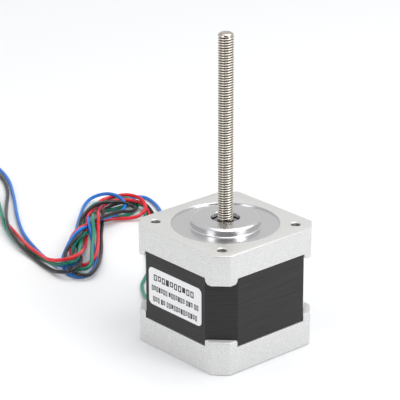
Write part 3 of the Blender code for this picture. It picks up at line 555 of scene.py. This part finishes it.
def chamfered_square(half, face_half):
    outline = []
    for turn in range(4):
        angle = turn * math.pi / 2
        for x, y in ((half, -face_half), (half, face_half)):
            outline.append(
                (
                    x * math.cos(angle) - y * math.sin(angle),
                    x * math.sin(angle) + y * math.cos(angle),
                )
            )
    return outline


def arc(centre, radius, start, end, steps):
    angles = [math.radians(start + (end - start) * step / steps) for step in range(steps + 1)]
    return [(centre[0] + radius * math.cos(a), centre[1] + radius * math.sin(a)) for a in angles]


def corners():
    for side_x, side_y in ((1, 1), (-1, 1), (-1, -1), (1, -1)):
        yield (side_x * HOLE_SPACING_HALF, side_y * HOLE_SPACING_HALF)


def cap_body(name, bottom, top, edge):
    mesh = plate_mesh([chamfered_square(FRAME_HALF, FRAME_HALF - CAP_CHAMFER)], top - bottom)
    cap = place(name, mesh, CAST, (0.0, 0.0, (bottom + top) / 2))
    bevel = cap.modifiers.new("edges", "BEVEL")
    bevel.width = edge
    bevel.segments = 3
    bevel.limit_method = "ANGLE"
    bevel.angle_limit = math.radians(30)
    return cap


def side_windows(name, edge_z, tab_z, radius):
    """The openings between the corner tabs, on both pairs of sides."""
    outward = math.copysign(1.0, tab_z - edge_z)
    beyond = tab_z + outward * 2 * MM
    quarter = [math.pi / 2 * step / TAB_STEPS for step in range(TAB_STEPS + 1)]
    side = [
        (TAB_START + radius - radius * math.cos(a), tab_z - outward * radius * (1 - math.sin(a)))
        for a in quarter
    ]
    half = [(TAB_START, edge_z)] + side + [(TAB_START + radius, beyond)]
    outline = half + [(-x, z) for x, z in reversed(half)]
    cutter = plate_mesh([outline], 4 * FRAME_HALF)
    cutter.transform(Matrix.Rotation(math.pi / 2, 4, "X"))
    across = cutter.copy()
    across.transform(Matrix.Rotation(math.pi / 2, 4, "Z"))
    return place(name + "_y", cutter), place(name + "_x", across)


def stack_seat(name, bottom, top):
    beyond = FRAME_HALF + MM
    corner = STACK_HALF + STACK_FACE_HALF + math.sqrt(2) * SEAT_GAP
    return plate(name, [chamfered_square(beyond, corner - beyond)], bottom, top)


def finish_faces(cap):
    """Milled top, turned recess floor and tapped holes on the front casting; the hole walls are darkened
    with painted shade.
    """
    mesh = cap.data
    mesh.materials.clear()
    for finish in (CAST, MILLED, TURNED, TAPPED_SHADE):
        mesh.materials.append(finish)
    cast, milled, turned_floor, tapped = range(4)
    hole_reach = 1.9 * MM
    recess_reach = RING_RADIUS + 0.3 * MM
    near = 0.1 * MM
    countersink_foot = BODY_LENGTH - 0.3 * MM
    holes = [Vector(centre) for centre in corners()]
    for face in mesh.polygons:
        x, y, z = face.center + cap.location
        middle = Vector((x, y))
        in_hole = min((middle - hole).length for hole in holes) < hole_reach
        face.material_index = cast
        if face.normal.z > 0.9 and z > BODY_LENGTH - near:
            face.material_index = milled
        elif z > BODY_LENGTH - RING_DEPTH - near and middle.length < recess_reach:
            face.material_index = turned_floor
        elif 0.15 < face.normal.z < 0.95 and z > BODY_LENGTH - CAP_EDGE:
            face.material_index = milled
        # Hole walls below the countersink get the dark finish: painted shade inside the holes
        elif in_hole and z < countersink_foot:
            face.material_index = tapped
        elif in_hole:
            face.material_index = milled


def front_cap():
    tab_end = FRONT_CAP_BOTTOM - FRONT_TAB_HEIGHT
    below = tab_end - MM
    face = BODY_LENGTH
    cap = cap_body("front_cap_casting", tab_end, face, CAP_EDGE)
    for window in side_windows("front_window", FRONT_CAP_BOTTOM - SEAT_STEP, tab_end, FRONT_TAB_ROUND):
        boolean(cap, window, solver="MANIFOLD")
    boolean(cap, stack_seat("front_seat", below, FRONT_CAP_BOTTOM), solver="MANIFOLD")
    rim = 0.18 * MM
    recess = [(0, face + MM), (RING_RADIUS + rim + MM, face + MM), (RING_RADIUS, face - rim)]
    recess += [(RING_RADIUS, face - RING_DEPTH), (0, face - RING_DEPTH)]
    boolean(cap, turned("ring_recess", recess))
    inner = BEARING_POCKET + MM
    boolean(cap, turned("boss_seat", [(0, face + MM), (inner, face + MM), (inner, below), (0, below)]))
    roof = face - CAP_FLOOR
    cavity = [(0, roof), (CAVITY_RADIUS, roof), (CAVITY_RADIUS, below), (0, below)]
    boolean(cap, turned("front_cavity", cavity))
    countersink = 0.35 * MM
    deep = face - MOUNT_HOLE_DEPTH
    for number, (x, y) in enumerate(corners(), 1):
        profile = [
            (0, face + MM),
            (MOUNT_HOLE_RADIUS + countersink + MM, face + MM),
            (MOUNT_HOLE_RADIUS, face - countersink),
            (MOUNT_HOLE_RADIUS, deep),
            (SCREW_HOLE_RADIUS, deep),
            (SCREW_HOLE_RADIUS, below),
            (0, below),
        ]
        hole = turned(f"front_hole_{number}", profile, steps=HOLE_STEPS, location=(x, y, 0.0))
        boolean(cap, hole)
    apply(cap)
    finish_faces(cap)
    return cap


def pilot_boss():
    """The turned boss, with the fillet at its foot and the bearing pocket under it."""
    floor = BODY_LENGTH - RING_DEPTH
    top = BODY_LENGTH + PILOT_HEIGHT
    fillet = 0.45 * MM
    seat = FRONT_BEARING_BOTTOM - 0.2 * MM
    pocket_top = FRONT_BEARING_BOTTOM + BEARING_WIDTH + 0.3 * MM
    foot = floor - 0.6 * MM
    hole_edge = 0.3 * MM
    profile = [(SHAFT_HOLE_RADIUS, top - hole_edge), (SHAFT_HOLE_RADIUS + hole_edge, top)]
    profile += [(9.75 * MM, top), (9.95 * MM, top - 0.03 * MM), (10.85 * MM, top - 0.45 * MM)]
    profile += [(PILOT_RADIUS, top - 0.62 * MM)]
    profile += arc((PILOT_RADIUS + fillet, floor + fillet), fillet, 180, 270, 6)
    profile += [(PILOT_RADIUS + fillet, foot), (HOUSING_WALL_RADIUS, foot)]
    profile += [(HOUSING_WALL_RADIUS, seat), (BEARING_POCKET, seat), (BEARING_POCKET, pocket_top)]
    profile += [(SHAFT_HOLE_RADIUS, pocket_top), (SHAFT_HOLE_RADIUS, top - hole_edge)]
    mesh = turned_mesh("pilot_boss", profile, BOSS_STEPS)
    boss = place("pilot_boss", cleaned(mesh), TURNED)
    return apply(boss, 28.0)


def rear_cap():
    tab_end = REAR_CAP_TOP + REAR_TAB_HEIGHT
    above = tab_end + MM
    cap = cap_body("rear_cap_casting", 0.0, tab_end, REAR_EDGE)
    for window in side_windows("rear_window", REAR_CAP_TOP + SEAT_STEP, tab_end, REAR_TAB_ROUND):
        boolean(cap, window, solver="MANIFOLD")
    boolean(cap, stack_seat("rear_seat", REAR_CAP_TOP, above), solver="MANIFOLD")
    inside = [
        (0, above),
        (CAVITY_RADIUS, above),
        (CAVITY_RADIUS, CAP_FLOOR),
        (HOUSING_WALL_RADIUS, CAP_FLOOR),
        (HOUSING_WALL_RADIUS, REAR_WALL_TOP),
        (BEARING_POCKET, REAR_WALL_TOP),
        (BEARING_POCKET, REAR_POCKET_FLOOR),
        (0, REAR_POCKET_FLOOR),
    ]
    boolean(cap, turned("rear_inside", inside))
    for number, (x, y) in enumerate(corners(), 1):
        profile = [
            (0, above),
            (SCREW_HOLE_RADIUS, above),
            (SCREW_HOLE_RADIUS, COUNTERBORE_DEPTH),
            (HEAD_BORE_RADIUS, COUNTERBORE_DEPTH),
            (HEAD_BORE_RADIUS, 0.25 * MM),
            (HEAD_BORE_RADIUS + 1.25 * MM, -MM),
            (0, -MM),
        ]
        hole = turned(f"rear_hole_{number}", profile, steps=HOLE_STEPS, location=(x, y, 0.0))
        boolean(cap, hole)
    width = 2 * OUTLET_HALF_WIDTH
    height = above - OUTLET_BOTTOM
    depth = 6 * MM
    outlet = bpy.data.meshes.new("lead_outlet")
    shape = bmesh.new()
    size = Matrix.Diagonal((depth, width, height, 1.0))
    bmesh.ops.create_cube(shape, size=1.0, matrix=size)
    shape.to_mesh(outlet)
    shape.free()
    middle = (-CAVITY_RADIUS - 3.5 * MM, 0.0, (above + OUTLET_BOTTOM) / 2)
    boolean(cap, place("lead_outlet", outlet, None, middle))
    return apply(cap)


def threaded_screw():
    """The shaft with a right-hand single-start thread, made as one helical band of rows."""
    steps = THREAD_STEPS
    last = steps - 1
    fit = 0.02 * MM
    # How far through one pitch each row lies, and its radius
    shares = [
        (0.00, ROOT_RADIUS),
        (0.12, ROOT_RADIUS),
        (0.42, CREST_RADIUS - 0.04 * MM),
        (0.50, CREST_RADIUS),
        (0.62, CREST_RADIUS),
        (0.70, CREST_RADIUS - 0.04 * MM),
    ]
    turns = math.ceil((THREAD_END - THREAD_START) / THREAD_PITCH) + 1
    first = THREAD_START - THREAD_PITCH / 2
    mesh = bpy.data.meshes.new("threaded_screw")
    shape = bmesh.new()

    def surface(z, radius):
        """The radius near the ends of the thread, where it fades into plain shaft."""
        if z < THREAD_START + RUN_OUT:
            share = max(0.0, (z - THREAD_START) / RUN_OUT)
            return CREST_RADIUS + (radius - CREST_RADIUS) * share
        if z > THREAD_END - RUN_OUT:
            share = max(0.0, (THREAD_END - z) / RUN_OUT)
            return CREST_RADIUS - fit + (radius - CREST_RADIUS) * share
        return radius

    rows = []
    for turn in range(turns):
        for share, radius in shares:
            row = []
            for step in range(steps):
                angle = 2 * math.pi * step / steps
                z = first + (turn + share + step / steps) * THREAD_PITCH
                z = min(max(z, THREAD_START - 0.1 * MM), THREAD_END + fit)
                wall = surface(z, radius)
                row.append(shape.verts.new((wall * math.cos(angle), wall * math.sin(angle), z)))
            rows.append(row)

    for lower, upper in zip(rows, rows[1:]):
        for step in range(last):
            shape.faces.new((lower[step], lower[step + 1], upper[step + 1], upper[step]))
    # The end of each row meets the start of the row one turn on
    turned_on = rows[len(shares):]
    for lower, upper, lower_on, upper_on in zip(rows, rows[1:], turned_on, turned_on[1:]):
        shape.faces.new((lower[last], lower_on[0], upper_on[0], upper[last]))
    shape.to_mesh(mesh)
    shape.free()
    thread = place("screw_thread", mesh, SCREW_SHADED_METAL)
    apply(thread, 40.0)
    shaft = [
        (0, THREAD_START + 0.2 * MM),
        (CREST_RADIUS - fit, THREAD_START + 0.2 * MM),
        (CREST_RADIUS, THREAD_START - 0.3 * MM),
        (SHAFT_RADIUS, THREAD_START - 0.45 * MM),
        (SHAFT_RADIUS, SHAFT_BOTTOM + 0.4 * MM),
        (SHAFT_RADIUS - 0.4 * MM, SHAFT_BOTTOM),
        (0, SHAFT_BOTTOM),
    ]
    shank = apply(turned("screw_shank", shaft, SHANK_METAL, SHANK_STEPS))
    core_top = THREAD_END - 0.4 * MM
    core = [(0, core_top), (ROOT_RADIUS - fit, core_top)]
    core += [(ROOT_RADIUS - fit, THREAD_START), (0, THREAD_START)]
    core = apply(turned("screw_core", core, SCREW_SHADED_METAL, THREAD_STEPS))
    round_over = arc((1.45 * MM, SCREW_TOP - 0.98 * MM), 0.96 * MM, 90, 0, 12)
    tip_foot = THREAD_END - 0.1 * MM
    tip = [(0, SCREW_TOP - fit)] + round_over
    tip += [(CREST_RADIUS - fit, tip_foot), (0, tip_foot)]
    tip = apply(turned("screw_tip", tip, SHANK_METAL, SHANK_STEPS), 60.0)
    return thread, shank, core, tip


def box_outline(left, right, low, high):
    return [(left, low), (right, low), (right, high), (left, high)]


def label_print():
    """Three rows of blocks, most of them hollow, where the label has its print."""
    outlines = []
    for middle, height, start, width, count, gap, breaks in PRINT_ROWS:
        x = start
        stroke = WIDE_STROKE if height > TALL_ROW else FINE_STROKE
        for number in range(count):
            if number in breaks:
                x += WORD_GAP
            if x + width > PRINT_RIGHT:
                break
            low = middle - height / 2
            high = middle + height / 2
            if number % 3 == 1:
                low += 0.15 * height
            right = x + width * BLOCK_SHARE
            outlines.append(box_outline(x, right, low, high))
            if number % 4 != 3:
                outlines.append(box_outline(x + stroke, right - stroke, low + stroke, high - stroke))
            x += width + gap
    outlines = [[(px * MM, pz * MM) for px, pz in outline] for outline in outlines]
    mesh = plate_mesh(outlines, PRINT_THICKNESS)
    mesh.transform(Matrix.Rotation(math.pi / 2, 4, "X"))
    return place("label_print", mesh, INK, (0.0, PRINT_Y, LABEL_CENTRE_Z))


def curve_through(points):
    """A smooth curve through the points: a centripetal Catmull-Rom spline, finely divided."""
    ends = [2 * points[0] - points[1]] + points + [2 * points[-1] - points[-2]]
    line = []
    for p0, p1, p2, p3 in zip(ends, ends[1:], ends[2:], ends[3:]):
        t0 = 0.0
        t1 = t0 + math.sqrt((p1 - p0).length)
        t2 = t1 + math.sqrt((p2 - p1).length)
        t3 = t2 + math.sqrt((p3 - p2).length)
        for step in range(CURVE_STEPS):
            t = t1 + (t2 - t1) * step / CURVE_STEPS
            a1 = p0.lerp(p1, (t - t0) / (t1 - t0))
            a2 = p1.lerp(p2, (t - t1) / (t2 - t1))
            a3 = p2.lerp(p3, (t - t2) / (t3 - t2))
            b1 = a1.lerp(a2, (t - t0) / (t2 - t0))
            b2 = a2.lerp(a3, (t - t1) / (t3 - t1))
            line.append(b1.lerp(b2, (t - t1) / (t2 - t1)))
    line.append(points[-1])
    return line


def lead(colour):
    route = [Vector(point) * MM for point in ROUTES[colour]]
    line = curve_through(route)
    curve = bpy.data.curves.new(f"lead_{colour}", "CURVE")
    curve.dimensions = "3D"
    curve.bevel_depth = LEAD_RADIUS
    curve.bevel_resolution = 5
    curve.use_fill_caps = True
    spline = curve.splines.new("POLY")
    spline.points.add(len(line) - 1)
    for point, (x, y, z) in zip(spline.points, line):
        point.co = (x, y, max(z, LOWEST_CENTRE), 1.0)
    spline.use_smooth = True
    made = place(f"lead_{colour}", curve, LEAD_FINISHES[colour])
    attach(made, "housing")
    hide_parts(f"wire_{colour}_1", f"wire_{colour}_2", "lead_bundle")


def dress(node, finish):
    for slot in NODES[node].material_slots:
        slot.material = finish


# Build

for name in ROUTES:
    lead(name)

cap = front_cap()
boss = pilot_boss()
for made in (cap, boss):
    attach(made, "housing")
    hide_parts("front_end_cap")

rear = rear_cap()
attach(rear, "housing")
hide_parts("rear_end_cap")

for made in threaded_screw():
    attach(made, "rotor")
    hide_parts("lead_screw")

print_marks = label_print()
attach(print_marks, "housing")

FINISHES = {
    "stator_core": LAMINATION,
    "rating_label": PAPER,
    "lead_grommet": RUBBER,
    "terminal_board": BOARD,
    "rotor_magnet": MAGNET_METAL,
    "wave_washer": FASTENER_METAL,
}
PREFIXES = {
    "coil_": COPPER,
    "insulator_": INSULATOR,
    "housing_screw_": FASTENER_METAL,
    "front_bearing_": BEARING_METAL,
    "rear_bearing_": BEARING_METAL,
    "rotor_cup_": ROTOR_METAL,
    "rotor_spacer_": BEARING_METAL,
}
for node in NODES:
    if node in FINISHES:
        dress(node, FINISHES[node])
    for prefix, finish in PREFIXES.items():
        if node.startswith(prefix):
            dress(node, finish)
    if node.startswith("wire_") and node.endswith("_end"):
        dress(node, STRANDS)


# Floor, light and camera


def floor():
    mesh = bpy.data.meshes.new("floor")
    shape = bmesh.new()
    bmesh.ops.create_grid(shape, x_segments=1, y_segments=1, size=4.0)
    shape.to_mesh(mesh)
    shape.free()
    finish = Finish("floor_paper", (0.86, 0.865, 0.875), 0.6)
    finish.bump(finish.noise(0.4), 0.01, 0.2)
    finish.set("Specular IOR Level", 0.15)
    made = place("floor", mesh, finish.material, (0.0, 0.0, -0.02 * MM))


def area(name, position, target, size, energy, height=None):
    light = bpy.data.lights.new(name, "AREA")
    light.energy = energy
    light.size = size
    if height:
        light.shape = "RECTANGLE"
        light.size_y = height
    made = bpy.data.objects.new(name, light)
    made.location = position
    direction = Vector(target) - Vector(position)
    made.rotation_euler = direction.to_track_quat("-Z", "Y").to_euler()
    LOOKS.objects.link(made)


def camera():
    data = bpy.data.cameras.new("camera")
    data.sensor_width = 36.0
    data.lens = CAMERA_LENS
    data.clip_end = 20.0
    made = bpy.data.objects.new("camera", data)
    made.location = CAMERA_PLACE
    turn = Vector(CAMERA_FORWARD).to_track_quat("-Z", "Y").to_matrix().to_4x4()
    roll = Matrix.Rotation(math.radians(CAMERA_ROLL), 4, "Z")
    made.rotation_euler = (turn @ roll).to_euler()
    LOOKS.objects.link(made)
    bpy.context.scene.camera = made


def studio():
    """Even white surroundings, dimmer behind the camera."""
    world = bpy.data.worlds.new("studio")
    world.use_nodes = True
    nodes = world.node_tree.nodes
    links = world.node_tree.links
    direction = nodes.new("ShaderNodeTexCoord")
    towards = nodes.new("ShaderNodeVectorMath")
    towards.operation = "DOT_PRODUCT"
    towards.inputs[1].default_value = DIM_DIRECTION
    spread = nodes.new("ShaderNodeMapRange")
    spread.interpolation_type = "SMOOTHSTEP"
    spread.inputs["From Min"].default_value = DIM_FROM
    spread.inputs["From Max"].default_value = DIM_FULL
    spread.inputs["To Min"].default_value = WORLD_STRENGTH
    spread.inputs["To Max"].default_value = WORLD_STRENGTH * DIM_SHARE
    links.new(direction.outputs["Generated"], towards.inputs[0])
    links.new(towards.outputs["Value"], spread.inputs["Value"])
    links.new(spread.outputs["Result"], nodes["Background"].inputs["Strength"])
    nodes["Background"].inputs["Color"].default_value = (1.0, 1.0, 1.0, 1.0)
    bpy.context.scene.world = world


floor()
area("overhead", (0.15, 0.25, 1.1), (0.0, 0.0, 0.0), size=1.2, energy=7.2)
area("key", (0.75, 0.15, 0.55), (0.0, 0.0, 0.03), size=0.4, energy=2.6)
area("fill", (0.0, -0.85, 0.45), (0.0, 0.0, 0.04), size=0.35, energy=1.7, height=0.7)
studio()
bpy.context.scene.view_settings.view_transform = "Standard"
camera()
